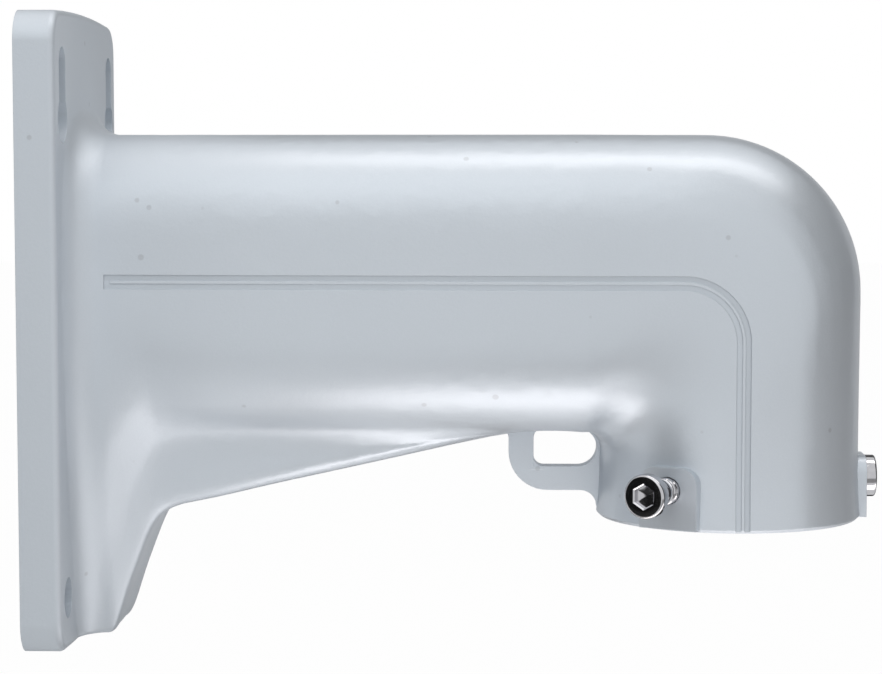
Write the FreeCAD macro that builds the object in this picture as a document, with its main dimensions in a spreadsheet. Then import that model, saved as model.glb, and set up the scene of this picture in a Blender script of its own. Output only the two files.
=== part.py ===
"""Cast wall bracket for a dome camera: plate, hollow arm with a foot, elbow, collar and clamp screws.

Millimetres. The origin is the centre of the plate's back face, on the wall. +X points away from the
wall along the arm, +Z up, and the bracket is a mirror image of itself about Y = 0.
"""

import FreeCAD
import Part

import math
import os
import re

from FreeCAD import Vector

os.makedirs("parts", exist_ok=True)
doc = FreeCAD.newDocument("CameraWallBracket")

# Driving dimensions
DIMENSIONS = {
    "plate_width": 102.0,
    "plate_height": 190.0,
    "plate_arch": 1.6,
    "plate_thickness": 12.0,
    "plate_corner": 9.5,
    "plate_edge_round": 2.0,
    "plate_face": 5.0,
    "plate_border": 4.5,
    "fixing_side_inset": 12.0,
    "fixing_end_inset": 16.5,
    "fixing_boss_wall": 3.5,
    "lower_hole_diameter": 12.0,
    "keyhole_slot_width": 10.0,
    "keyhole_entry_diameter": 14.0,
    "keyhole_drop": 16.0,
    "casting_wall": 4.0,
    "arm_top": 58.2,
    "arm_underside": -31.7,
    "arm_wall_half_width": 36.0,
    "arm_bend_half_width": 40.0,
    "arm_upper_round": 26.0,
    "arm_lower_round": 28.0,
    "flare_round": 10.0,
    "gusset_overlap": 1.0,
    "gusset_angle": 12.6,
    "foot_angle": 70.5,
    "foot_reach": 21.5,
    "foot_bottom": -93.5,
    "foot_half_width": 19.0,
    "foot_fade": 26.0,
    "foot_shoulder": 8.0,
    "foot_bend": 4.6,
    "foot_edge_round": 3.0,
    "web_hollow": 9.0,
    "web_least": 10.0,
    "gusset_blend": 3.0,
    "foot_blend": 0.6,
    "outer_bend_radius": 47.5,
    "inner_bend_radius": 6.0,
    "collar_reach": 209.6,
    "collar_radius": 40.5,
    "collar_draft": 0.9,
    "rim_level": -58.4,
    "rim_chamfer": 1.0,
    "line_level": 14.8,
    "line_start": 23.0,
    "line_offset": 1.0,
    "line_bend_radius": 17.4,
    "line_width": 4.2,
    "line_ridge": 0.9,
    "line_depth": 0.5,
    "eye_thickness": 6.0,
    "eye_length": 27.1,
    "eye_strap": 7.7,
    "eye_floor": 7.4,
    "eye_opening_height": 11.8,
    "eye_outer_round": 12.0,
    "eye_blend": 5.0,
    "pad_proud": 1.0,
    "pad_width": 18.6,
    "pad_rise": 6.8,
    "pad_lift": 0.5,
    "pad_round": 5.0,
    "screw_rise": 12.1,
    "screw_diameter": 8.0,
    "screw_length": 16.0,
    "screw_clearance": 0.05,
    "screw_head_diameter": 13.0,
    "screw_head_height": 3.6,
    "screw_head_chamfer": 0.6,
    "screw_socket_flats": 6.0,
    "screw_socket_depth": 2.2,
    "screw_tip_chamfer": 0.8,
    "near_screw_backed_off": 12.1,
    "hub_bore_diameter": 49.0,
    "hub_wall": 5.0,
    "hub_height": 24.0,
    "hub_setback": 2.5,
    "hub_boss_diameter": 17.0,
}

sheet = doc.addObject("Spreadsheet::Sheet", "sizes")
for row, (alias, value) in enumerate(DIMENSIONS.items(), start=1):
    sheet.set(f"A{row}", alias)
    sheet.set(f"B{row}", str(value))
    sheet.setAlias(f"B{row}", alias)
doc.recompute()


def size(alias):
    """One driving dimension, as the sheet holds it."""
    return float(getattr(sheet, alias))


def sheet_terms(expression):
    """An expression on the aliases, with each alias pointed at the sheet."""
    return re.sub(
        r"[a-z_]+", lambda word: f"sizes.{word[0]}" if word[0] in DIMENSIONS else word[0], expression
    )


def bind(part, **expressions):
    """Bind properties to the sheet. X, Y and Z stand for the place of the object."""
    places = {"X": "Placement.Base.x", "Y": "Placement.Base.y", "Z": "Placement.Base.z"}
    for name, expression in expressions.items():
        part.setExpression(places.get(name, name), sheet_terms(str(expression)))
    return part


def box(name, length, width, height, **place):
    return bind(doc.addObject("Part::Box", name), Length=length, Width=width, Height=height, **place)


def cylinder(name, radius, height, **place):
    return bind(doc.addObject("Part::Cylinder", name), Radius=radius, Height=height, **place)


def cylinder_along_x(name, radius, height, x, y, z):
    turned = f"placement(vector({x}; {y}; {z}); rotation(vector(0; 1; 0); 90))"
    return cylinder(name, radius, height, Placement=turned)


def cylinder_along_y(name, radius, height, x, y, z):
    turned = f"placement(vector({x}; {y}; {z}); rotation(vector(1; 0; 0); -90))"
    return cylinder(name, radius, height, Placement=turned)


def about_collar(azimuth, radial, sideways, rise, tilt=0):
    """Place on the collar: turned about its axis, then out, sideways and up from the rim."""
    return (
        f"placement(vector(collar_reach; 0; rim_level); rotation(vector(0; 0; 1); {azimuth}))"
        f" * placement(vector({radial}; {sideways}; {rise}); rotation(vector(0; 1; 0); {tilt}))"
    )


def fuse(name, parts):
    joined = doc.addObject("Part::MultiFuse", name)
    joined.Shapes = parts
    return joined


def cut(name, base, tool):
    remainder = doc.addObject("Part::Cut", name)
    remainder.Base = base
    remainder.Tool = tool
    return remainder


def common(name, parts):
    shared = doc.addObject("Part::MultiCommon", name)
    shared.Shapes = parts
    return shared


def round_edges(name, base, radius, chosen, kind="Part::Fillet"):
    """Fillet or chamfer the edges of base that chosen accepts."""
    doc.recompute()
    rounded = doc.addObject(kind, name)
    rounded.Base = base
    numbers = [i for i, edge in enumerate(base.Shape.Edges, start=1) if chosen(edge)]
    rounded.Edges = [(i, radius, radius) for i in numbers]
    return rounded


def solid_feature(name, shape):
    feature = doc.addObject("Part::Feature", name)
    feature.Shape = shape
    return feature


def runs_along(edge, axis):
    """Is this a straight edge along the axis?"""
    if not isinstance(edge.Curve, Part.Line):
        return False
    return edge.Curve.Direction.cross(axis).Length < 1e-6


# Wall plate: an arched slab, cored from the back, with bosses round its four fixings
ALONG_X = Vector(1, 0, 0)
arch_radius = "((plate_width / 2)^2 + plate_arch^2) / (2 * plate_arch)"
slab = box(
    "slab", "plate_thickness", "plate_width", "plate_height",
    Y="0 - plate_width / 2", Z="0 - plate_height / 2",
)
arches = [
    cylinder_along_x(
        f"arch_{end}", arch_radius, "plate_thickness + 2",
        "-1", "0", f"{sign} * (plate_height / 2 - {arch_radius})",
    )
    for end, sign in (("top", 1), ("bottom", -1))
]
arched_slab = common("arched_slab", [slab] + arches)
cornered_slab = round_edges(
    "cornered_slab", arched_slab, size("plate_corner"), lambda edge: runs_along(edge, ALONG_X)
)
front = size("plate_thickness")
rounded_slab = round_edges(
    "rounded_slab", cornered_slab, size("plate_edge_round"),
    lambda edge: all(abs(vertex.X - front) < 1e-6 for vertex in edge.Vertexes),
)

core = box(
    "core", "plate_thickness - plate_face + 1", "plate_width - 2 * plate_border",
    "plate_height - 2 * (plate_border + plate_arch)",
    X="-1", Y="plate_border - plate_width / 2", Z="plate_border + plate_arch - plate_height / 2",
)
rounded_core = round_edges(
    "rounded_core", core, max(size("plate_corner") - size("plate_border"), 1.0),
    lambda edge: runs_along(edge, ALONG_X),
)

bosses = []
holes = []
for side, sign in (("left", -1), ("right", 1)):
    across = f"{sign} * (plate_width / 2 - fixing_side_inset)"
    lower = "fixing_end_inset - plate_height / 2"
    upper = "plate_height / 2 - fixing_end_inset"
    entry = f"{upper} - keyhole_drop"
    rounds = {
        f"lower_hole_{side}": ("lower_hole_diameter / 2", lower),
        f"slot_end_{side}": ("keyhole_slot_width / 2", upper),
        f"slot_entry_{side}": ("keyhole_entry_diameter / 2", entry),
    }
    for name, (radius, level) in rounds.items():
        holes.append(cylinder_along_x(name, radius, "plate_thickness + 2", "-1", across, level))
        bosses.append(cylinder_along_x(
            f"{name}_boss", f"{radius} + fixing_boss_wall", "plate_thickness", "0", across, level
        ))
    holes.append(box(
        f"slot_{side}", "plate_thickness + 2", "keyhole_slot_width", "keyhole_drop",
        X="-1", Y=f"{across} - keyhole_slot_width / 2", Z=entry,
    ))
    bosses.append(box(
        f"slot_{side}_boss", "plate_thickness", "keyhole_slot_width + 2 * fixing_boss_wall",
        "keyhole_drop", X="0",
        Y=f"{across} - keyhole_slot_width / 2 - fixing_boss_wall", Z=entry,
    ))
cored = cut("cored", rounded_core, fuse("fixing_bosses", bosses))
plate = cut("plate", rounded_slab, cored)


# Arm, foot, elbow and collar: one skin through sections that turn from upright to level.
# The flare leaves the plate at FLARE_START degrees. The web under the arm is drawn taller than it
# is by web_least and eased back into the arm's round, so that it fades out at its tip. The hollow
# beside it takes at most HOLLOW_SHARE of the radius that fits there.
FLARE_START = 18.0
HOLLOW_SHARE = 0.8
FOOT_STEPS = (0.0, 4.0, 8.0, 12.5, 18.0, 26.0)
WEB_SHARES = (0.47, 0.62, 0.78, 0.90, 1.0)
ELBOW_TURNS = (0, 15, 30, 45, 60, 75, 90)


def smooth_max(first, second, blend):
    high = max(first, second)
    low = min(first, second)
    return high + blend * math.log1p(math.exp((low - high) / blend))


def smooth_min(first, second, blend):
    return -smooth_max(-first, -second, blend)


def ease(fraction):
    held = min(max(fraction, 0.0), 1.0)
    return held * held * (3.0 - 2.0 * held)


def arm_half_width(x):
    pivot_x = size("collar_reach") - collar_top_radius() - size("inner_bend_radius")
    share = x / pivot_x
    return size("arm_wall_half_width") * (1 - share) + size("arm_bend_half_width") * share


def collar_top_radius():
    return size("collar_radius") - size("collar_draft")


def gusset_tip():
    """Where the gusset runs out, just past the outer end of the safety eye."""
    eye_left = size("collar_reach") - size("collar_radius") - size("eye_length")
    return eye_left + size("gusset_overlap")


def keel_level(x):
    """Underside of the foot and gusset at a distance from the wall."""
    slope = math.tan(math.radians(size("gusset_angle")))
    tip = smooth_max(gusset_tip() - x, 0.0, size("gusset_blend"))
    gusset = size("arm_underside") - slope * tip
    foot_slope = math.tan(math.radians(size("foot_angle")))
    foot = size("foot_bottom") + foot_slope * (x - size("foot_reach"))
    return smooth_max(smooth_min(gusset, foot, size("foot_bend")), size("foot_bottom"), size("foot_blend"))


def cored_keel_level(x, wall):
    """The keel moved inwards by a wall, square to its slope."""
    if wall == 0:
        return keel_level(x)
    steps = [wall * (i / 12.0 - 1.0) for i in range(25)]
    return max(keel_level(x + step) + math.sqrt(wall * wall - step * step) for step in steps)


def mix(first, second, share):
    """Points part of the way from the first row of points to the second."""
    return [
        (y0 + (y1 - y0) * share, z0 + (z1 - z0) * share) for (y0, z0), (y1, z1) in zip(first, second)
    ]


def arc_points(centre_y, centre_z, radius, first, last, count):
    """Points on an arc, its angles measured from straight up towards +Y."""
    angles = [math.radians(first + (last - first) * i / (count - 1)) for i in range(count)]
    return [(centre_y + radius * math.sin(a), centre_z + radius * math.cos(a)) for a in angles]


def upper_points(top, half_width, corner, shoulder):
    """Half of the section's upper part: the flat crown, its corner and the flank to the shoulder."""
    crown = [(0.0, top), ((half_width - corner) / 2, top)]
    bend = arc_points(half_width - corner, top - corner, corner, 0, 90, 5)
    low = top - corner
    flank = [(half_width, low + (shoulder - low) * i / 3) for i in range(1, 3)]
    return crown + bend + flank


def hollow_at(x, casting_wall, radius, across):
    """Radius of the hollow between arm and web, and the arc's angle down from the flank to it."""
    drop = size("arm_underside") - keel_level(x)
    room = drop + size("web_least") - casting_wall - size("foot_edge_round") - 1.0
    limit = (2 * radius * room + room * room + across * across) / (2 * (radius - across))
    hollow = smooth_min(size("web_hollow"), HOLLOW_SHARE * limit, 1.0)
    return hollow, math.acos((across + hollow) / (radius + hollow))


def arc_down(centre_y, centre_z, radius, first, last, count):
    """Points on an arc, its angles measured in radians down from the flank."""
    angles = [first + (last - first) * i / (count - 1) for i in range(count)]
    return [(centre_y + radius * math.cos(a), centre_z - radius * math.sin(a)) for a in angles]


def web_edge_points(web, keel, edge):
    """The round at the foot's lower edge and half of its flat keel."""
    corner = arc_points(web - edge, keel + edge, edge, 90, 180, 3)
    return corner + [((web - edge) / 2, keel), (0.0, keel)]


def leaning_lower_points(keel, half_width, web, edge):
    """Half of the lower part at the wall, where the flank leans in to the foot all the way down."""
    low = keel + edge
    points = []
    for i in range(9):
        drop = 1 - i / 9
        share = math.sin(0.5 * math.pi * drop)
        points.append((web + (half_width - web) * share, low + (size("foot_shoulder") - low) * drop))
    return points + web_edge_points(web, keel, edge)


def webbed_lower_points(x, wall, half_width, web):
    """Half of the lower part further out: the arm's round, a hollow and the web under it."""
    radius = size("arm_lower_round")
    middle = half_width + wall - radius
    hollow, angle = hollow_at(x, size("casting_wall"), radius, web + wall - middle)
    bottom = size("arm_underside") + wall
    level = size("arm_underside") + radius
    flank = arc_down(middle, level, radius - wall, 0.0, angle, 6)
    rest = arc_down(middle, level, radius - wall, angle, 0.5 * math.pi, 7)[1:]
    plain = flank + rest + [(middle / 2, bottom), (0.0, bottom)]
    drop = max(bottom - cored_keel_level(x, wall), 0.0)
    keel = bottom - drop - size("web_least")
    hollow_level = level - (radius + hollow) * math.sin(angle)
    hollow_y = web + wall + hollow
    reach = hollow + wall
    turns = [angle / 2, 0.0]
    hollowed = [(hollow_y - reach * math.cos(a), hollow_level + reach * math.sin(a)) for a in turns]
    edge = size("foot_edge_round")
    side = [(web, (hollow_level + keel + edge) / 2)]
    webbed = flank + hollowed + side + web_edge_points(web, keel, edge)
    return mix(plain, webbed, drop / (drop + size("web_least")))


def arm_half_section(x, wall, spread):
    """Half of the upright section at x, moved in by a wall and spread where it meets the plate."""
    half_width = arm_half_width(x) + spread - wall
    top = size("arm_top") + spread - wall
    upper_corner = size("arm_upper_round") + spread - wall
    web = size("foot_half_width") + spread - wall
    at_wall = math.exp(-((x - size("plate_thickness")) / size("foot_fade")) ** 2)
    leaning = leaning_lower_points(cored_keel_level(x, wall), half_width, web, size("foot_edge_round"))
    lower = mix(webbed_lower_points(x, wall, half_width, web), leaning, at_wall)
    return upper_points(top, half_width, upper_corner, lower[0][1]) + lower


def elbow_half_section(turn, wall):
    """Half of a section turned about the inner bend, from its outer edge to its inner edge."""
    inner = size("inner_bend_radius") + wall
    outer = outer_reach(turn) - wall
    half_height = (size("arm_top") - size("arm_underside")) / 2 - wall
    middle = (size("arm_top") + size("arm_underside")) / 2
    start_half_width = arm_half_width(pivot().x) - wall
    share = ease(turn / ELBOW_TURNS[-1])
    half_width = start_half_width * (1 - share) + (collar_top_radius() - wall) * share
    plain = []
    for y, z in arm_half_section(pivot().x, wall, 0.0):
        across = y / start_half_width
        up = (z - middle) / half_height
        squareness = 1 - share + share / math.hypot(across, up)
        plain.append((across * squareness, up * squareness))
    reach = (outer - inner) / 2
    return [(y * half_width, (outer + inner) / 2 + z * reach) for y, z in plain]


def pivot():
    """Centre of the inner bend, about which the elbow's sections turn."""
    radius = size("inner_bend_radius")
    return Vector(size("collar_reach") - collar_top_radius() - radius, 0, size("arm_underside") - radius)


def outer_reach(turn):
    """From the pivot to the outer outline: the arm's top, the outer bend, then the collar's side."""
    centre_x = size("collar_reach") + collar_top_radius() - size("outer_bend_radius") - pivot().x
    centre_z = size("arm_top") - size("outer_bend_radius") - pivot().z
    run = math.sin(math.radians(turn))
    rise = math.cos(math.radians(turn))
    along = centre_x * run + centre_z * rise
    across = centre_x * rise - centre_z * run
    reach = along + math.sqrt(max(size("outer_bend_radius") ** 2 - across ** 2, 0.0))
    if reach * run < centre_x:
        return (size("arm_top") - pivot().z) / rise
    if reach * rise < centre_z:
        return (size("collar_reach") + collar_top_radius() - pivot().x) / run
    return reach


def whole(half):
    """The half section with its mirror image, as one closed row of points."""
    return half + [(-y, z) for y, z in reversed(half[1:-1])]


def upright_ring(x, wall, spread=0.0):
    return [Vector(x, y, z) for y, z in whole(arm_half_section(x, wall, spread))]


def turned_ring(turn, wall):
    run = math.sin(math.radians(turn))
    rise = math.cos(math.radians(turn))
    centre = pivot()
    return [
        Vector(centre.x + reach * run, y, centre.z + reach * rise)
        for y, reach in whole(elbow_half_section(turn, wall))
    ]


def lowered_ring(ring, level, radius):
    """The elbow's last ring moved down the collar to a level and opened to a radius."""
    axis = Vector(size("collar_reach"), 0, level)
    moved = []
    for point in ring:
        outward = Vector(point.x - axis.x, point.y, 0)
        moved.append(axis + outward.normalize() * radius)
    return moved


def hoop_parameters(rings):
    """Parameters round the section, in step with the mean distance between its points."""
    steps = []
    for i in range(len(rings[0])):
        gaps = [ring[i - 1].distanceToPoint(ring[i]) for ring in rings]
        steps.append(sum(gaps) / len(gaps))
    steps = steps[1:] + steps[:1]
    reached = [sum(steps[:i]) for i in range(len(steps) + 1)]
    return [value / reached[-1] for value in reached]


def skinned_surface(rings, travel, around):
    """Smooth surface through closed rings, each at its travel."""
    rails = []
    for points in zip(*rings):
        rail = Part.BSplineCurve()
        rail.interpolate(Points=list(points), Parameters=travel)
        rails.append(rail)
    hoops = []
    for poles in zip(*(rail.getPoles() for rail in rails)):
        hoop = Part.BSplineCurve()
        hoop.interpolate(Points=list(poles), PeriodicFlag=True, Parameters=around)
        hoops.append(hoop)
    surface = Part.BSplineSurface()
    surface.buildFromPolesMultsKnots(
        [hoop.getPoles() for hoop in hoops],
        rails[0].getMultiplicities(), hoops[0].getMultiplicities(),
        rails[0].getKnots(), hoops[0].getKnots(),
        False, True, rails[0].Degree, hoops[0].Degree,
    )
    return surface


def half_patches(surface, low, high):
    """The surface between two travels, as one patch for each side of the middle plane."""
    patches = []
    for first, second in ((0.0, 0.5), (0.5, 1.0)):
        patch = surface.copy()
        patch.segment(low, high, first, second)
        patches.append(patch)
    return patches


def flat_end(patches, travel):
    return Part.Face(Part.Wire([patch.uIso(travel).toShape() for patch in patches]))


def skin(wall, start, end_level, flared=True):
    """Solid inside the outer surface moved in by a wall, from start to a level of the collar."""
    front = size("plate_thickness")
    radius = size("flare_round") if flared else 0.0
    first = math.radians(FLARE_START)
    rings = []
    travel = []
    if flared:
        lead = (front - start) / math.sin(first)
        spread = radius * (1 - math.sin(first)) + lead * math.cos(first)
        rings.append(upright_ring(start + radius * (1 - math.cos(first)), wall, spread))
        travel.append(radius * first - lead)
        for i in range(5):
            angle = first + (0.5 * math.pi - first) * i / 4
            x = front + radius * (1 - math.cos(angle))
            rings.append(upright_ring(x, wall, radius * (1 - math.sin(angle))))
            travel.append(radius * angle)
    else:
        rings = [upright_ring(x, wall) for x in (start, front)]
        travel = [start, front]
    offset = travel[-1] - front - radius
    foot_stations = [size("foot_reach") + step for step in FOOT_STEPS]
    web_stations = [gusset_tip() * share for share in WEB_SHARES]
    for x in foot_stations + web_stations + [pivot().x]:
        if x > front + radius + 1.0:
            rings.append(upright_ring(x, wall))
            travel.append(x + offset)
    foot_end = foot_stations[-1] + offset

    elbow_rings = [turned_ring(turn, wall) for turn in ELBOW_TURNS]
    elbow_travel = [float(turn) for turn in ELBOW_TURNS]
    collar_rings = [elbow_rings[-1]]
    collar_travel = [0.0]
    for share in (0.5, 1.0):
        level = pivot().z + (end_level - pivot().z) * share
        radius = collar_top_radius() + size("collar_draft") * share * share - wall
        collar_rings.append(lowered_ring(elbow_rings[-1], level, radius))
        collar_travel.append(share)

    around = hoop_parameters(rings + elbow_rings)
    arm = skinned_surface(rings, travel, around)
    elbow = skinned_surface(elbow_rings, elbow_travel, around)
    collar = skinned_surface(collar_rings, collar_travel, around)
    patches = (
        half_patches(arm, travel[0], foot_end) + half_patches(arm, foot_end, travel[-1])
        + half_patches(elbow, 0.0, elbow_travel[-1]) + half_patches(collar, 0.0, 1.0)
    )
    faces = [patch.toShape() for patch in patches]
    faces += [flat_end(patches[:2], travel[0]), flat_end(patches[-2:], 1.0)]
    shell = Part.Shell(faces)
    shell.sewShape()
    solid = Part.Solid(shell)
    if solid.Volume < 0:
        solid.reverse()
    return solid


arm_skin = solid_feature("arm_skin", skin(0.0, size("plate_thickness") - 1.0, size("rim_level")))
arm_core = solid_feature(
    "arm_core", skin(size("casting_wall"), -1.0, size("rim_level") - 1.0, flared=False)
)

rim_ring = cylinder("rim_ring", "collar_radius + 5", "rim_chamfer", X="collar_reach", Z="rim_level")
rim_cone = doc.addObject("Part::Cone", "rim_cone")
bind(
    rim_cone, Radius1="collar_radius - rim_chamfer", Radius2="collar_radius", Height="rim_chamfer",
    X="collar_reach", Z="rim_level",
)
chamfered_skin = cut("chamfered_skin", arm_skin, cut("rim_trim", rim_ring, rim_cone))


# Double line: two shallow grooves side by side along each flank and down the collar
def line_band(inner, outer, start):
    """Flat band between two offsets of the line's path, seen from the side."""
    bend = size("line_bend_radius")
    centre = Vector(size("collar_reach") + size("line_offset") - bend, 0, size("line_level") - bend)
    end = size("rim_level") - 1.0

    def rail(offset):
        radius = bend + offset
        top = Vector(centre.x, 0, centre.z + radius)
        side = Vector(centre.x + radius, 0, centre.z)
        diagonal = radius * math.sqrt(0.5)
        middle = Vector(centre.x + diagonal, 0, centre.z + diagonal)
        return Vector(start, 0, top.z), top, middle, side, Vector(side.x, 0, end)

    in_start, in_top, in_middle, in_side, in_end = rail(inner)
    out_start, out_top, out_middle, out_side, out_end = rail(outer)
    edges = [
        Part.LineSegment(in_start, in_top).toShape(),
        Part.Arc(in_top, in_middle, in_side).toShape(),
        Part.LineSegment(in_side, in_end).toShape(),
        Part.LineSegment(in_end, out_end).toShape(),
        Part.LineSegment(out_end, out_side).toShape(),
        Part.Arc(out_side, out_middle, out_top).toShape(),
        Part.LineSegment(out_top, out_start).toShape(),
        Part.LineSegment(out_start, in_start).toShape(),
    ]
    face = Part.Face(Part.Wire(edges))
    depth = 3 * size("collar_radius")
    face.translate(Vector(0, -depth / 2, 0))
    return face.extrude(Vector(0, depth, 0))


half_line = size("line_width") / 2
half_ridge = size("line_ridge") / 2
whole_line = line_band(-half_line, half_line, size("line_start"))
ridge = line_band(-half_ridge, half_ridge, size("line_start") + half_line - half_ridge)
line_floor = skin(size("line_depth"), size("plate_thickness") - 1.0, size("rim_level") - 1.0)
grooves = solid_feature("grooves", whole_line.cut(ridge).cut(line_floor))


# Safety eye: a flat strap in the middle plane, from the arm's underside round to the collar
eye_bottom = "arm_underside - eye_opening_height - eye_floor"
eye_left = "collar_reach - collar_radius - eye_length"
strap = box(
    "strap", "eye_length + casting_wall / 2", "eye_thickness",
    f"arm_underside + casting_wall / 2 - ({eye_bottom})",
    X=eye_left, Y="0 - eye_thickness / 2", Z=eye_bottom,
)
doc.recompute()
ALONG_Y = Vector(0, 1, 0)
strap_low = strap.Shape.BoundBox.ZMin
strap_left = strap.Shape.BoundBox.XMin
rounded_strap = round_edges(
    "rounded_strap", strap, size("eye_outer_round"),
    lambda edge: runs_along(edge, ALONG_Y)
    and abs(edge.Vertexes[0].Z - strap_low) < 1e-6
    and abs(edge.Vertexes[0].X - strap_left) < 1e-6,
)
blend_block = box(
    "blend_block", "eye_blend + casting_wall / 2", "eye_thickness", "eye_blend",
    X="collar_reach - collar_radius - eye_blend", Y="0 - eye_thickness / 2",
    Z=f"{eye_bottom} - eye_blend",
)
blend_hollow = cylinder_along_y(
    "blend_hollow", "eye_blend", "2 * eye_thickness", "collar_reach - collar_radius - eye_blend",
    "0 - eye_thickness", f"{eye_bottom} - eye_blend",
)
eye_root = cut("eye_root", blend_block, blend_hollow)

# Screw pads round the rim
AZIMUTHS = {"right": 0, "near": -120, "far": 120}
hub_middle = "(hub_bore_diameter + hub_wall) / 2"
pad_face = "collar_radius + pad_proud"
pads = []
for name, azimuth in AZIMUTHS.items():
    pad = box(
        f"pad_{name}", f"{pad_face} - {hub_middle}", "pad_width", "screw_rise + pad_rise - pad_lift"
    )
    pad_block = round_edges(
        f"rounded_pad_{name}", pad, size("pad_round"),
        lambda edge: runs_along(edge, ALONG_X) and edge.Vertexes[0].Z > size("pad_rise"),
    )
    bind(pad, Placement=about_collar(azimuth, hub_middle, "0 - pad_width / 2", "pad_lift"))
    pads.append(pad_block)

outer_form = fuse("outer_form", [plate, chamfered_skin, rounded_strap, eye_root] + pads)

# Hub inside the collar: a ring for the camera's spigot, carried on three bosses
hub_ring = cylinder(
    "hub_ring", "hub_bore_diameter / 2 + hub_wall", "hub_height",
    X="collar_reach", Z="rim_level + hub_setback",
)
spokes = []
for name, azimuth in AZIMUTHS.items():
    spokes.append(cylinder(
        f"boss_{name}", "hub_boss_diameter / 2", f"collar_radius - casting_wall / 2 - {hub_middle}",
        Placement=about_collar(azimuth, hub_middle, "0", "screw_rise", 90),
    ))
hub = fuse("hub", [hub_ring] + spokes)
hollow = cut("hollow", arm_core, hub)
casting = cut("casting", outer_form, hollow)
hub_bore = cylinder(
    "hub_bore", "hub_bore_diameter / 2", "hub_height + hub_setback + 10",
    X="collar_reach", Z="rim_level - 5",
)

screw_holes = [
    cylinder(
        f"screw_hole_{name}", "screw_diameter / 2 + screw_clearance", pad_face,
        Placement=about_collar(azimuth, "hub_bore_diameter / 4", "0", "screw_rise", 90),
    )
    for name, azimuth in AZIMUTHS.items()
]

opening_left = f"{eye_left} + eye_strap"
opening_right = "collar_reach - collar_radius"
opening_low = "arm_underside - eye_opening_height"
eye_slot = box(
    "eye_slot", f"{opening_right} - ({opening_left}) - eye_opening_height / 2", "2 * eye_thickness",
    "eye_opening_height", X=opening_left, Y="0 - eye_thickness", Z=opening_low,
)
eye_round = cylinder_along_y(
    "eye_round", "eye_opening_height / 2", "2 * eye_thickness",
    f"{opening_right} - eye_opening_height / 2", "0 - eye_thickness",
    f"{opening_low} + eye_opening_height / 2",
)

openings = fuse("openings", [hub_bore, eye_slot, eye_round, grooves] + holes + screw_holes)
bracket_body = cut("bracket_body", casting, openings)
bracket_body.Label = "bracket_body"


# Clamp screws: low round heads with a six-sided socket
def clamp_screw(name, azimuth, backed_off):
    head = cylinder(f"head_{name}", "screw_head_diameter / 2", "screw_head_height")
    head_top = size("screw_head_height")
    edged_head = round_edges(
        f"edged_head_{name}", head, size("screw_head_chamfer"),
        lambda edge: len(edge.Vertexes) == 1 and abs(edge.Vertexes[0].Z - head_top) < 1e-6,
        kind="Part::Chamfer",
    )
    shank = cylinder(f"shank_{name}", "screw_diameter / 2", "screw_length + 1", Z="0 - screw_length")
    tip = -size("screw_length")
    tipped_shank = round_edges(
        f"tipped_shank_{name}", shank, size("screw_tip_chamfer"),
        lambda edge: len(edge.Vertexes) == 1 and abs(edge.Vertexes[0].Z - tip) < 1e-6,
        kind="Part::Chamfer",
    )
    blank = fuse(f"blank_{name}", [edged_head, tipped_shank])
    socket = doc.addObject("Part::Prism", f"socket_{name}")
    socket.Polygon = 6
    bind(
        socket, Circumradius="screw_socket_flats / sqrt(3)", Height="screw_socket_depth + 1",
        Z="screw_head_height - screw_socket_depth",
    )
    screw = cut(f"clamp_screw_{name}", blank, socket)
    screw.Label = f"clamp_screw_{name}"
    return bind(
        screw, Placement=about_collar(azimuth, f"{pad_face} + {backed_off}", "0", "screw_rise", 90)
    )


BACKED_OFF = {"right": "0", "near": "near_screw_backed_off", "far": "0"}
nodes = [bracket_body] + [
    clamp_screw(name, azimuth, BACKED_OFF[name]) for name, azimuth in AZIMUTHS.items()
]
doc.recompute()

# Every object has to be sound before anything is written
for item in doc.Objects:
    if "Invalid" in item.State or "Error" in item.State:
        raise RuntimeError(f"{item.Name} did not compute: {item.State}")
for node in nodes:
    if node.Shape.isNull() or not node.Shape.isValid() or len(node.Shape.Solids) != 1:
        raise RuntimeError(f"{node.Label} isn't one valid solid")
for node in nodes:
    solids = len(node.Shape.Solids)
    print(node.Label, "solids", solids, "volume", round(node.Shape.Volume / 1000.0, 2), "cm3")
    node.Shape.exportStep(f"parts/{node.Label}.step")
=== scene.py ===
"""Looks of the camera wall bracket: pearl paint, polished clamp screws, studio and camera."""

import bisect
import math

import bmesh
import bpy
from mathutils import Matrix, Vector


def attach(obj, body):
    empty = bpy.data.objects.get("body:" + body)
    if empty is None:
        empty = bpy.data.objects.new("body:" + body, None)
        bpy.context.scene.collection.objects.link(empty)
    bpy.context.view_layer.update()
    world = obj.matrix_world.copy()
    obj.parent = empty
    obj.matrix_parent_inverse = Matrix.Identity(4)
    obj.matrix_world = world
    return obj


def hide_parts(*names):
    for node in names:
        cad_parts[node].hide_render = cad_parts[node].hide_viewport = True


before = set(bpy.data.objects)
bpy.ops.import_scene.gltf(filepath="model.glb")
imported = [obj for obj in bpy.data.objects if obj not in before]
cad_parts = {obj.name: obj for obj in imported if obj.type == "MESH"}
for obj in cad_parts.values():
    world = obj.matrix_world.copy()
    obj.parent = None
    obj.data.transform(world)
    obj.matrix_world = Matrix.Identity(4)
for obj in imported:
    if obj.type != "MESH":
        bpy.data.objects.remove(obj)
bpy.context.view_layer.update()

MM = 0.001

# Camera: the photograph's width in pixels, and its lens as the pixels that one radian would cover
PHOTO_WIDTH = 882
FOCAL_PIXELS = 2350.0
SENSOR_MM = 36.0
CAMERA_PLACE = Vector((143.8, -723.0, 50.5)) * MM
CAMERA_YAW = math.radians(1.8)
CAMERA_PITCH = math.radians(-4.3)

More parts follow.
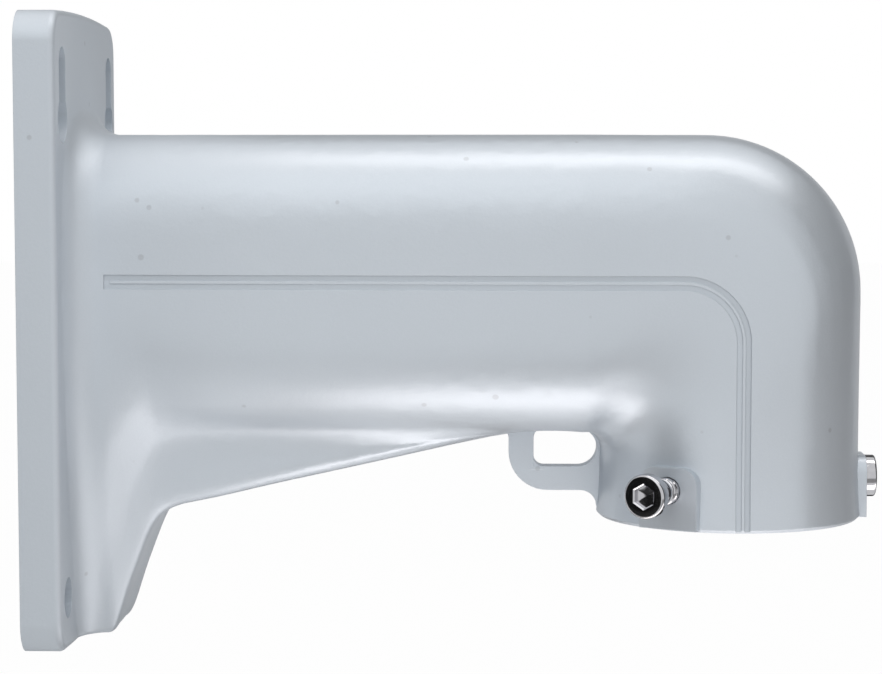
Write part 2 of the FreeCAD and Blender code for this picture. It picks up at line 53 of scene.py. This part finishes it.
# Elbow, in millimetres
INNER_CENTRE_X = 164.0
INNER_CENTRE_Z = -37.7
INNER_RADIUS = 6.0
OUTER_BEND = 47.5
ARM_TOP = 58.2
COLLAR_SIDE = 249.2
FLANK = 39.7

# Truing of the elbow's outer side: shares are of the way out from its inner bend or to its flank
ELBOW_END_MARGIN = 0.01
CROWN_HALF_WIDTH = 0.3
GREATEST_WAVE = 1.2
OUTER_SHARE = 0.6
FLANK_FADE_START = 0.80
FLANK_FADE_LENGTH = 0.17

# Double line on the flanks, in millimetres, and how deep the shade painted into its grooves is
LINE_CENTRE_X = 193.2
LINE_CENTRE_Z = -2.6
LINE_BEND = 17.4
LINE_START = 23.0
LINE_START_SOFTNESS = 0.4
LINE_RIDGE_SIDE = 0.5
LINE_SIDE = 2.1
LINE_SOFTNESS = 0.25
OUTER_GROOVE_PAINTED_SHADE = 0.07
INNER_GROOVE_PAINTED_SHADE = 0.01

# Safety eye, in millimetres
EYE_LEFT = 142.0
EYE_STRAP = 7.7
EYE_OPENING_LOW = -43.5
ARM_UNDERSIDE = -31.7
EYE_BACK_TOP = ARM_UNDERSIDE - 0.5
EYE_HALF_THICKNESS = 2.98
EYE_INSIDE_ROUND = 3.0
EYE_BACK_ROUND = 2.5
CORNER_ROOT = 1.0
CORNER_STEPS = 8

# Clamp screws on the collar, in millimetres
COLLAR_REACH = 209.6
SCREW_LEVEL = -46.3
PAD_FACE = 41.5
NEAR_BACKED_OFF = 12.1
SCREW_AZIMUTHS = {"right": 0.0, "near": -120.0, "far": 120.0}
HEAD_RADIUS = 6.5
HEAD_HEIGHT = 3.6
HEAD_ROUND = 0.8
HEAD_ROUND_STEPS = 5
HEAD_FOOT_CHAMFER = 0.3
SOCKET_RADIUS = 6.0 / math.sqrt(3)
SOCKET_DEPTH = 2.2
SOCKET_CHAMFER_WIDTH = 0.45
SOCKET_CHAMFER_DEPTH = 0.35
SOCKET_CONE_DEPTH = 0.5
SOCKET_CONE_TIP = 0.3
SHANK_LENGTH = 16.0
NECK_LENGTH = 0.6
NECK_TAPER = 0.6
TIP_CHAMFER = 0.8

# Threads, in millimetres
THREAD_CREST = 3.98
THREAD_ROOT = 3.45
THREAD_PITCH = 1.25
THREAD_RUN_OUT = 1.0
THREAD_PROFILE_SHARE = 0.6
THREAD_PROFILE_CORNERS = 4
THREAD_TURN_STEPS = 40

# Pearl paint, drier and rougher in the hollow beside the wall plate, in millimetres from the wall
PAINT_SHADES = ((0.600, 0.652, 0.706, 1), (0.628, 0.680, 0.734, 1))
DUST_GREY = (0.33, 0.34, 0.36, 1)
# Black that the base colour is mixed towards for the shade painted into the grooves of the double line
PAINTED_GROOVE_SHADE_BLACK = (0.0, 0.0, 0.0, 1)
DRY_PAINT_FROM = 35.0
DRY_PAINT_TO = 85.0
EDGE_SOFTNESS = 0.3

# Steel
STEEL_SHADES = ((0.44, 0.44, 0.46, 1), (0.56, 0.56, 0.58, 1))

# Meshes
MERGE_DISTANCE = 1e-6
CASTING_SHARP_ANGLE = math.radians(24)
SCREW_SHARP_ANGLE = math.radians(28)
AROUND = 60

# Studio, in metres
FLOOR_LEVEL = -0.24
FLOOR_SIDE = 12.0
FLOOR_GREY = 0.86
FLOOR_WHITENESS = 0.97
WORLD_LEVEL = 0.68
ON_FLOOR = FLOOR_LEVEL + 0.005
ARM_MIDDLE = (0.12, 0.0, 0.0)
WARM_WHITE = (1.0, 0.93, 0.89)
WARMER_WHITE = (1.0, 0.92, 0.89)
WHITE = (1.0, 1.0, 1.0)


# Shader maths
class Wire:
    """A socket that takes part in Python expressions and adds its Math nodes."""

    def __init__(self, tree, socket):
        self.tree = tree
        self.socket = socket

    def join(self, operation, other, swapped=False):
        first, second = (other, self) if swapped else (self, other)
        return self.tree.add("ShaderNodeMath", {"operation": operation}, {0: first, 1: second})

    def __add__(self, other):
        return self.join("ADD", other)

    def __radd__(self, other):
        return self.join("ADD", other, swapped=True)

    def __sub__(self, other):
        return self.join("SUBTRACT", other)

    def __rsub__(self, other):
        return self.join("SUBTRACT", other, swapped=True)

    def __mul__(self, other):
        return self.join("MULTIPLY", other)

    def __rmul__(self, other):
        return self.join("MULTIPLY", other, swapped=True)

    def at_least(self, low):
        return self.join("MAXIMUM", low)

    def root(self):
        return self.join("POWER", 0.5)

    def limited(self):
        """The value kept between 0 and 1."""
        return self.tree.add("ShaderNodeClamp", {}, {"Value": self}, "Result")

    def step(self, low, high):
        """0 below the first value and 1 above the second, with a soft step between them."""
        settings = {"interpolation_type": "SMOOTHSTEP"}
        limits = {"Value": self, "From Min": low, "From Max": high}
        return self.tree.add("ShaderNodeMapRange", settings, limits)

    def between(self, low, high, edge):
        """1 between two values and 0 outside them, each edge a soft step."""
        rise = self.step(low - edge, low + edge)
        return rise * (1.0 - self.step(high - edge, high + edge))


class Shading:
    """The node tree of one material or of the world."""

    def __init__(self, owner):
        owner.use_nodes = True
        self.nodes = owner.node_tree.nodes
        self.links = owner.node_tree.links
        self.nodes.clear()

    def add(self, kind, settings, inputs, output=0):
        """Add a node: its settings first, then the values or links of its sockets."""
        node = self.nodes.new(kind)
        for name, value in settings.items():
            setattr(node, name, value)
        for name, value in inputs.items():
            if isinstance(value, Wire):
                self.links.new(value.socket, node.inputs[name])
            else:
                node.inputs[name].default_value = value
        if not node.outputs:
            return None
        return Wire(self, node.outputs[output])

    def place(self):
        """Place on the object, in metres."""
        return self.add("ShaderNodeTexCoord", {}, {}, "Object")

    def along(self, axis):
        """Place on the object along one axis, in millimetres."""
        return self.add("ShaderNodeSeparateXYZ", {}, {"Vector": self.place()}, axis) * (1 / MM)

    def noise(self, scale, detail=2.0, roughness=0.5):
        return self.add(
            "ShaderNodeTexNoise", {},
            {"Vector": self.place(), "Scale": scale, "Detail": detail, "Roughness": roughness},
        )

    def blend(self, share, first, second):
        """Colour part of the way from the first to the second."""
        node_inputs = {0: share, 6: first, 7: second}
        return self.add("ShaderNodeMix", {"data_type": "RGBA"}, node_inputs, 2)

    def looked_at(self):
        """1 for a ray from the camera, off a reflection or through glass, and 0 for other light."""
        kinds = ("Is Camera Ray", "Is Glossy Ray", "Is Transmission Ray")
        seen, mirrored, passed = (self.add("ShaderNodeLightPath", {}, {}, kind) for kind in kinds)
        return (seen + mirrored + passed).limited()

    def surface(self, shader):
        self.add("ShaderNodeOutputMaterial", {}, {"Surface": shader})


# Paint, steel and floor
def painted_groove_shade(paint):
    """Depth of the shade painted into the two grooves of the double line, the outer one the deeper."""
    x = paint.along("X")
    z = paint.along("Z")
    past_x = (x - LINE_CENTRE_X).at_least(0.0)
    past_z = (z - LINE_CENTRE_Z).at_least(0.0)
    offset = (past_x * past_x + past_z * past_z).root() - LINE_BEND
    outer = offset.between(LINE_RIDGE_SIDE, LINE_SIDE, LINE_SOFTNESS)
    inner = offset.between(-LINE_SIDE, -LINE_RIDGE_SIDE, LINE_SOFTNESS)
    begun = x.step(LINE_START - LINE_START_SOFTNESS, LINE_START + LINE_START_SOFTNESS)
    return (outer * OUTER_GROOVE_PAINTED_SHADE + inner * INNER_GROOVE_PAINTED_SHADE) * begun


def dust_specks(paint):
    """Small specks of dust, each darkest in its middle."""
    specks = paint.add(
        "ShaderNodeTexVoronoi", {"feature": "F1"},
        {"Vector": paint.place(), "Scale": 78.0, "Randomness": 1.0}, "Distance",
    )
    speck_size = paint.noise(35.0, 1.0)
    return paint.add(
        "ShaderNodeMapRange", {},
        {"Value": specks - speck_size * 0.085, "From Min": 0.0, "From Max": 0.03,
         "To Min": 0.32, "To Max": 0.0},
    )


def pearl_paint():
    """Light grey satin paint with a fine pearl grain, orange peel, a little dust and shade painted
    into the grooves of the double line.
    """
    material = bpy.data.materials.new("pearl_paint")
    paint = Shading(material)
    grain = paint.noise(2600.0, 2.0, 0.6)
    patches = paint.noise(22.0, 3.0)
    peel = paint.noise(900.0, 1.0)
    mottle = patches + (grain - 0.5) * 1.6
    clean = paint.blend(mottle, *PAINT_SHADES)
    # Painted shade: the base colour darkened towards black in the grooves of the double line
    with_painted_groove_shade = paint.blend(painted_groove_shade(paint), clean, PAINTED_GROOVE_SHADE_BLACK)
    dry = 1.0 - paint.along("X").step(DRY_PAINT_FROM, DRY_PAINT_TO)
    soft_edges = paint.add("ShaderNodeBevel", {"samples": 4}, {"Radius": EDGE_SOFTNESS * MM})
    soft_bump = paint.add("ShaderNodeBump", {}, {
        "Strength": 0.10, "Distance": 0.0003, "Height": peel + grain * 0.5, "Normal": soft_edges,
    })
    shader = paint.add("ShaderNodeBsdfPrincipled", {}, {
        "Base Color": paint.blend(dust_specks(paint), with_painted_groove_shade, DUST_GREY),
        "Metallic": 0.40,
        "Roughness": 0.33 + grain * 0.05 + patches * 0.03 + dry * 0.14,
        "Specular IOR Level": 0.3,
        "Specular Tint": (0.35, 0.36, 0.38, 1),
        "Normal": soft_bump,
    })
    paint.surface(shader)
    return material


def polished_steel():
    """Stainless steel with a slightly uneven polish."""
    material = bpy.data.materials.new("polished_steel")
    steel = Shading(material)
    wear = steel.noise(700.0, 3.0)
    shader = steel.add("ShaderNodeBsdfPrincipled", {}, {
        "Base Color": steel.blend(wear, *STEEL_SHADES),
        "Metallic": 1.0,
        "Roughness": 0.07 + wear * 0.06,
    })
    steel.surface(shader)
    return material


def pale_ground():
    """Floor that is white to the camera and in reflections, and keeps the part's shadow."""
    material = bpy.data.materials.new("pale_ground")
    ground = Shading(material)
    grey = (FLOOR_GREY, FLOOR_GREY, FLOOR_GREY, 1)
    matt = ground.add("ShaderNodeBsdfDiffuse", {}, {"Color": grey})
    white = ground.add("ShaderNodeEmission", {}, {"Color": (*WHITE, 1), "Strength": 1.0})
    share = ground.looked_at() * FLOOR_WHITENESS
    ground.surface(ground.add("ShaderNodeMixShader", {}, {0: share, 1: matt, 2: white}))
    return material


# Objects
def new_object(name, mesh, material):
    thing = bpy.data.objects.new(name, mesh)
    bpy.context.scene.collection.objects.link(thing)
    mesh.materials.clear()
    mesh.materials.append(material)
    return thing


def keep_plain(thing):
    """The finished shape of an object as a plain mesh, its modifiers removed."""
    depsgraph = bpy.context.evaluated_depsgraph_get()
    mesh = bpy.data.meshes.new_from_object(thing.evaluated_get(depsgraph))
    thing.modifiers.clear()
    thing.data = mesh
    return thing


def shade_smooth(work, sharp_angle):
    """Smooth faces, with the edges that turn more than an angle left sharp."""
    for face in work.faces:
        face.smooth = True
    for edge in work.edges:
        edge.smooth = len(edge.link_faces) == 2 and edge.calc_face_angle() < sharp_angle


def finish_piece(piece, node):
    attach(piece, "root")
    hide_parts(node)


# Casting
def outline_reach(turn):
    """From the inner bend's centre to the outline: the arm's top, the bend or the collar's side."""
    bend_x = COLLAR_SIDE - OUTER_BEND - INNER_CENTRE_X
    bend_z = ARM_TOP - OUTER_BEND - INNER_CENTRE_Z
    run = math.sin(turn)
    rise = math.cos(turn)
    along = bend_x * run + bend_z * rise
    across = bend_x * rise - bend_z * run
    reach = along + math.sqrt(max(OUTER_BEND ** 2 - across ** 2, 0.0))
    if reach * run < bend_x:
        return (ARM_TOP - INNER_CENTRE_Z) / rise
    if reach * rise < bend_z:
        return (COLLAR_SIDE - INNER_CENTRE_X) / run
    return reach


def about_inner_bend(point):
    """Turn and reach, in millimetres, about the inner bend's centre, of a point in metres."""
    run = point.x / MM - INNER_CENTRE_X
    rise = point.z / MM - INNER_CENTRE_Z
    return math.atan2(run, rise), math.hypot(run, rise)


def true_elbow(work):
    """Even out the slight waves of the elbow's outer side against its straight and round outline."""
    last_turn = math.pi / 2
    crown = [(0.0, 0.0), (last_turn, 0.0)]
    elbow = []
    for vertex in work.verts:
        turn, reach = about_inner_bend(vertex.co)
        if vertex.co.x < INNER_CENTRE_X * MM:
            continue
        if not ELBOW_END_MARGIN < turn < last_turn - ELBOW_END_MARGIN:
            continue
        wave = reach - outline_reach(turn)
        if abs(vertex.co.y) < CROWN_HALF_WIDTH * MM and abs(wave) < GREATEST_WAVE:
            crown.append((turn, wave))
        elbow.append((vertex, turn, reach))
    crown.sort()
    turns = [turn for turn, wave in crown]
    for vertex, turn, reach in elbow:
        after = bisect.bisect_right(turns, turn)
        (turn0, wave0), (turn1, wave1) = crown[after - 1], crown[after]
        wave = wave0 + (wave1 - wave0) * (turn - turn0) / max(turn1 - turn0, 1e-9)
        share = (reach - INNER_RADIUS) / (outline_reach(turn) - INNER_RADIUS)
        to_flank = abs(vertex.co.y) / MM / FLANK
        sideways = min(max((to_flank - FLANK_FADE_START) / FLANK_FADE_LENGTH, 0.0), 1.0)
        move = -wave * share * (1 - sideways * sideways * (3 - 2 * sideways)) * MM
        if share > OUTER_SHARE:
            vertex.co.x += move * math.sin(turn)
            vertex.co.z += move * math.cos(turn)


def add_corner(work, x, z, run, rise, radius):
    """A rounded inside corner of the eye, its material rooted in the walls beside it."""
    root_x = x - run * CORNER_ROOT
    root_z = z - rise * CORNER_ROOT
    outline = [(root_x, root_z), (x + run * radius, root_z)]
    for step in range(CORNER_STEPS + 1):
        angle = 0.5 * math.pi * step / CORNER_STEPS
        outline.append((
            x + run * radius * (1 - math.sin(angle)), z + rise * radius * (1 - math.cos(angle))
        ))
    outline.append((root_x, z + rise * radius))
    near = [work.verts.new(Vector((a, -EYE_HALF_THICKNESS, b)) * MM) for a, b in outline]
    far = [work.verts.new(Vector((a, EYE_HALF_THICKNESS, b)) * MM) for a, b in outline]
    made = [work.faces.new(near), work.faces.new(list(reversed(far)))]
    for i in range(len(outline)):
        after = (i + 1) % len(outline)
        made.append(work.faces.new((near[after], near[i], far[i], far[after])))
    bmesh.ops.recalc_face_normals(work, faces=made)


def painted_casting(material):
    """A merged copy of the casting, its normals weighted by face so that the paint reflects evenly."""
    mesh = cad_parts["bracket_body"].data.copy()
    work = bmesh.new()
    work.from_mesh(mesh)
    bmesh.ops.remove_doubles(work, verts=work.verts, dist=MERGE_DISTANCE)
    true_elbow(work)
    inside = EYE_LEFT + EYE_STRAP
    add_corner(work, inside, EYE_OPENING_LOW, 1, 1, EYE_INSIDE_ROUND)
    add_corner(work, inside, ARM_UNDERSIDE, 1, -1, EYE_INSIDE_ROUND)
    add_corner(work, EYE_LEFT, EYE_BACK_TOP, -1, -1, EYE_BACK_ROUND)
    shade_smooth(work, CASTING_SHARP_ANGLE)
    work.to_mesh(mesh)
    work.free()
    casting = new_object("painted_casting", mesh, material)
    weighted = casting.modifiers.new("weighted", "WEIGHTED_NORMAL")
    weighted.keep_sharp = True
    weighted.weight = 100
    return keep_plain(casting)


# Clamp screws
def around():
    return [2 * math.pi * i / AROUND for i in range(AROUND)]


def circle(radius):
    return [Vector((radius * math.cos(a), radius * math.sin(a), 0)) for a in around()]


def hexagon(radius):
    """A six-sided ring with as many points as a circle."""
    side = math.radians(60)
    flat = radius * math.cos(side / 2)
    ring = []
    for angle in around():
        off_middle = (angle % side) - side / 2
        reach = flat / math.cos(off_middle)
        ring.append(Vector((reach * math.cos(angle), reach * math.sin(angle), 0)))
    return ring


def ringed_mesh(name, rings):
    """Mesh through rings of points, each at its height, with both ends closed."""
    work = bmesh.new()
    loops = []
    for ring, height in rings:
        loops.append([work.verts.new((point + Vector((0, 0, height))) * MM) for point in ring])
    for low, high in zip(loops, loops[1:]):
        for i in range(AROUND):
            after = (i + 1) % AROUND
            work.faces.new((low[i], low[after], high[after], high[i]))
    work.faces.new(list(reversed(loops[0])))
    work.faces.new(loops[-1])
    mesh = bpy.data.meshes.new(name)
    work.to_mesh(mesh)
    work.free()
    return mesh


def screw_rings():
    """Rings of a screw from its tip, over its head, to the bottom of its socket. The pad is at 0."""
    tip = -SHANK_LENGTH
    rings = [
        (circle(THREAD_ROOT - TIP_CHAMFER), tip),
        (circle(THREAD_ROOT), tip + TIP_CHAMFER),
        (circle(THREAD_ROOT), -NECK_LENGTH - NECK_TAPER),
        (circle(THREAD_CREST), -NECK_LENGTH),
        (circle(THREAD_CREST), 0.0),
        (circle(HEAD_RADIUS - HEAD_FOOT_CHAMFER), 0.0),
        (circle(HEAD_RADIUS), HEAD_FOOT_CHAMFER),
        (circle(HEAD_RADIUS), HEAD_HEIGHT - HEAD_ROUND),
    ]
    for step in range(1, HEAD_ROUND_STEPS + 1):
        angle = math.radians(90 * step / HEAD_ROUND_STEPS)
        rings.append((
            circle(HEAD_RADIUS - HEAD_ROUND * (1 - math.cos(angle))),
            HEAD_HEIGHT - HEAD_ROUND * (1 - math.sin(angle)),
        ))
    rings += [
        (hexagon(SOCKET_RADIUS + SOCKET_CHAMFER_WIDTH), HEAD_HEIGHT),
        (hexagon(SOCKET_RADIUS), HEAD_HEIGHT - SOCKET_CHAMFER_DEPTH),
        (hexagon(SOCKET_RADIUS), HEAD_HEIGHT - SOCKET_DEPTH),
        (circle(SOCKET_CONE_TIP), HEAD_HEIGHT - SOCKET_DEPTH - SOCKET_CONE_DEPTH),
    ]
    return rings


def thread_tree(material):
    """Geometry nodes that add a helical thread round a screw's shank."""
    tree = bpy.data.node_groups.new("screw_thread", "GeometryNodeTree")
    sizes = {
        "Crest Radius": THREAD_CREST,
        "Root Radius": THREAD_ROOT,
        "Pitch": THREAD_PITCH,
        "Length": SHANK_LENGTH - 2 * TIP_CHAMFER - THREAD_RUN_OUT,
    }
    tree.interface.new_socket("Geometry", in_out="INPUT", socket_type="NodeSocketGeometry")
    for name in sizes:
        tree.interface.new_socket(name, in_out="INPUT", socket_type="NodeSocketFloat")
    tree.interface.new_socket("Geometry", in_out="OUTPUT", socket_type="NodeSocketGeometry")

    def node(kind, inputs, **settings):
        made = tree.nodes.new(kind)
        for name, value in settings.items():
            setattr(made, name, value)
        for name, value in inputs.items():
            if isinstance(value, bpy.types.NodeSocket):
                tree.links.new(value, made.inputs[name])
            else:
                made.inputs[name].default_value = value
        return made

    def maths(operation, first, second):
        made = node("ShaderNodeMath", {0: first, 1: second}, operation=operation)
        return made.outputs[0]

    given = tree.nodes.new("NodeGroupInput").outputs
    crest = maths("MULTIPLY", given["Crest Radius"], MM)
    depth = maths("SUBTRACT", crest, maths("MULTIPLY", given["Root Radius"], MM))
    profile_radius = maths("MULTIPLY", depth, THREAD_PROFILE_SHARE)
    middle = maths("SUBTRACT", crest, profile_radius)
    helix = node("GeometryNodeCurveSpiral", {
        "Resolution": THREAD_TURN_STEPS,
        "Rotations": maths("DIVIDE", given["Length"], given["Pitch"]),
        "Start Radius": middle,
        "End Radius": middle,
        "Height": maths("MULTIPLY", given["Length"], MM),
    })
    lowered = node("GeometryNodeTransform", {
        "Geometry": helix.outputs[0],
        "Translation": (0, 0, (TIP_CHAMFER - SHANK_LENGTH) * MM),
    })
    profile = node("GeometryNodeCurvePrimitiveCircle", {
        "Resolution": THREAD_PROFILE_CORNERS, "Radius": profile_radius,
    }, mode="RADIUS")
    thread = node("GeometryNodeCurveToMesh", {
        "Curve": lowered.outputs[0], "Profile Curve": profile.outputs[0], "Fill Caps": True,
    })
    joined = node("GeometryNodeJoinGeometry", {})
    tree.links.new(given["Geometry"], joined.inputs[0])
    tree.links.new(thread.outputs[0], joined.inputs[0])
    real = node("GeometryNodeRealizeInstances", {"Geometry": joined.outputs[0]})
    finished = node("GeometryNodeSetMaterial", {"Geometry": real.outputs[0], "Material": material})
    closing = tree.nodes.new("NodeGroupOutput")
    tree.links.new(finished.outputs[0], closing.inputs[0])
    return tree, sizes


def clamp_screw(name, azimuth, backed_off, tree, sizes, material):
    """A low-head socket screw, turned into its place on the collar."""
    mesh = ringed_mesh(f"{name}_screw", screw_rings())
    screw = new_object(f"{name}_screw", mesh, material)
    modifier = screw.modifiers.new("thread", "NODES")
    modifier.node_group = tree
    for item in tree.interface.items_tree:
        if item.in_out == "INPUT" and item.name in sizes:
            modifier[item.identifier] = sizes[item.name]
    keep_plain(screw)
    collar_axis = Matrix.Translation(Vector((COLLAR_REACH, 0, SCREW_LEVEL)) * MM)
    turned = Matrix.Rotation(math.radians(azimuth), 4, "Z")
    laid_down = Matrix.Rotation(math.radians(90), 4, "Y")
    to_pad = Matrix.Translation(Vector((0, 0, PAD_FACE + backed_off)) * MM)
    screw.data.transform(collar_axis @ turned @ laid_down @ to_pad)
    work = bmesh.new()
    work.from_mesh(screw.data)
    shade_smooth(work, SCREW_SHARP_ANGLE)
    work.to_mesh(screw.data)
    work.free()
    return screw


# Studio
def ground_plane():
    half = FLOOR_SIDE / 2
    corners = [(-half, -half), (half, -half), (half, half), (-half, half)]
    mesh = bpy.data.meshes.new("floor")
    mesh.from_pydata([(x, y, FLOOR_LEVEL) for x, y in corners], [], [(0, 1, 2, 3)])
    new_object("floor", mesh, pale_ground())


def world_light():
    """Even light all round, and white where the camera or a reflection sees past the floor."""
    world = bpy.data.worlds.new("studio")
    bpy.context.scene.world = world
    studio = Shading(world)
    strength = WORLD_LEVEL + studio.looked_at() * (1.0 - WORLD_LEVEL)
    shader = studio.add("ShaderNodeBackground", {}, {"Color": (*WHITE, 1), "Strength": strength})
    studio.add("ShaderNodeOutputWorld", {}, {"Surface": shader})


def facing(place, aim, backwards=False):
    """Turn that points +Z, or -Z when backwards, from a place to an aim, its X side kept level."""
    front = (Vector(aim) - Vector(place)).normalized()
    if backwards:
        front.negate()
    nearly_upright = abs(front.z) > 0.9
    up = Vector((0, 1, 0)) if nearly_upright else Vector((0, 0, 1))
    side = up.cross(front).normalized()
    return Matrix((side, front.cross(side), front)).transposed()


def lamp(name, place, aim, width, height, power, colour):
    """A soft rectangular lamp at a place, pointing at an aim, in metres and watts."""
    light = bpy.data.lights.new(name, "AREA")
    light.shape = "RECTANGLE"
    light.size = width
    light.size_y = height
    light.energy = power
    light.color = colour
    thing = bpy.data.objects.new(name, light)
    bpy.context.scene.collection.objects.link(thing)
    thing.location = place
    thing.rotation_euler = facing(place, aim, backwards=True).to_euler()


def dark_card(name, place, aim, width, height, grey):
    """A matt card, in metres, that darkens what the part reflects and that the camera doesn't see."""
    half_width = width / 2
    half_height = height / 2
    mesh = bpy.data.meshes.new(name)
    mesh.from_pydata(
        [(-half_width, -half_height, 0), (half_width, -half_height, 0),
         (half_width, half_height, 0), (-half_width, half_height, 0)],
        [], [(0, 1, 2, 3)],
    )
    mesh.transform(Matrix.Translation(place) @ facing(place, aim).to_4x4())
    material = bpy.data.materials.new(name)
    matt = Shading(material)
    matt.surface(matt.add("ShaderNodeBsdfDiffuse", {}, {"Color": (grey, grey, grey, 1)}))
    card = new_object(name, mesh, material)
    card.visible_camera = False


def photo_camera():
    data = bpy.data.cameras.new("camera")
    data.sensor_width = SENSOR_MM
    data.lens = SENSOR_MM * FOCAL_PIXELS / PHOTO_WIDTH
    camera = bpy.data.objects.new("camera", data)
    bpy.context.scene.collection.objects.link(camera)
    camera.location = CAMERA_PLACE
    camera.rotation_euler = (math.radians(90) + CAMERA_PITCH, 0, CAMERA_YAW)
    bpy.context.scene.camera = camera
    bpy.context.scene.view_settings.view_transform = "Standard"


# Part
casting = painted_casting(pearl_paint())
finish_piece(casting, "bracket_body")

steel = polished_steel()
thread, thread_sizes = thread_tree(steel)
for name, azimuth in SCREW_AZIMUTHS.items():
    backed_off = NEAR_BACKED_OFF if name == "near" else 0.0
    screw = clamp_screw(name, azimuth, backed_off, thread, thread_sizes, steel)
    finish_piece(screw, f"clamp_screw_{name}")

# Floor, world, lamps, cards that shape the highlights, and camera
ground_plane()
world_light()
lamp("overhead", (0.42, -0.03, 0.75), (0.42, -0.01, 0.0), 0.9, 0.22, 1.62, WARM_WHITE)
lamp("underneath", (0.29, -0.09, -0.21), (0.29, -0.09, 0.5), 0.44, 0.11, 0.33, WARMER_WHITE)
lamp("front_fill", (-0.25, -1.0, 1.0), ARM_MIDDLE, 1.4, 1.4, 4.2, WHITE)
dark_card("card_left_front", (-0.60, -0.48, -0.05), (0.19, -0.05, -0.05), 0.55, 0.5, 0.03)
dark_card("card_left_floor", (-0.38, -0.45, ON_FLOOR), (-0.38, -0.45, 0.5), 0.45, 0.5, 0.05)
dark_card("card_right", (0.60, 0.05, 0.03), ARM_MIDDLE, 0.54, 0.7, 0.1)
dark_card("card_above", (0.12, 0.40, 0.30), ARM_MIDDLE, 1.2, 0.30, 0.2)
dark_card("card_below", (0.12, 0.19, -0.19), (0.12, 0.19, 0.5), 1.0, 0.16, 0.04)
dark_card("card_foot", (0.055, -0.09, -0.18), (0.5, -0.09, -0.18), 0.2, 0.10, 0.5)
dark_card("card_front_floor", (0.50, -0.62, ON_FLOOR), (0.50, -0.62, 0.5), 0.8, 0.7, 0.5)
photo_camera()
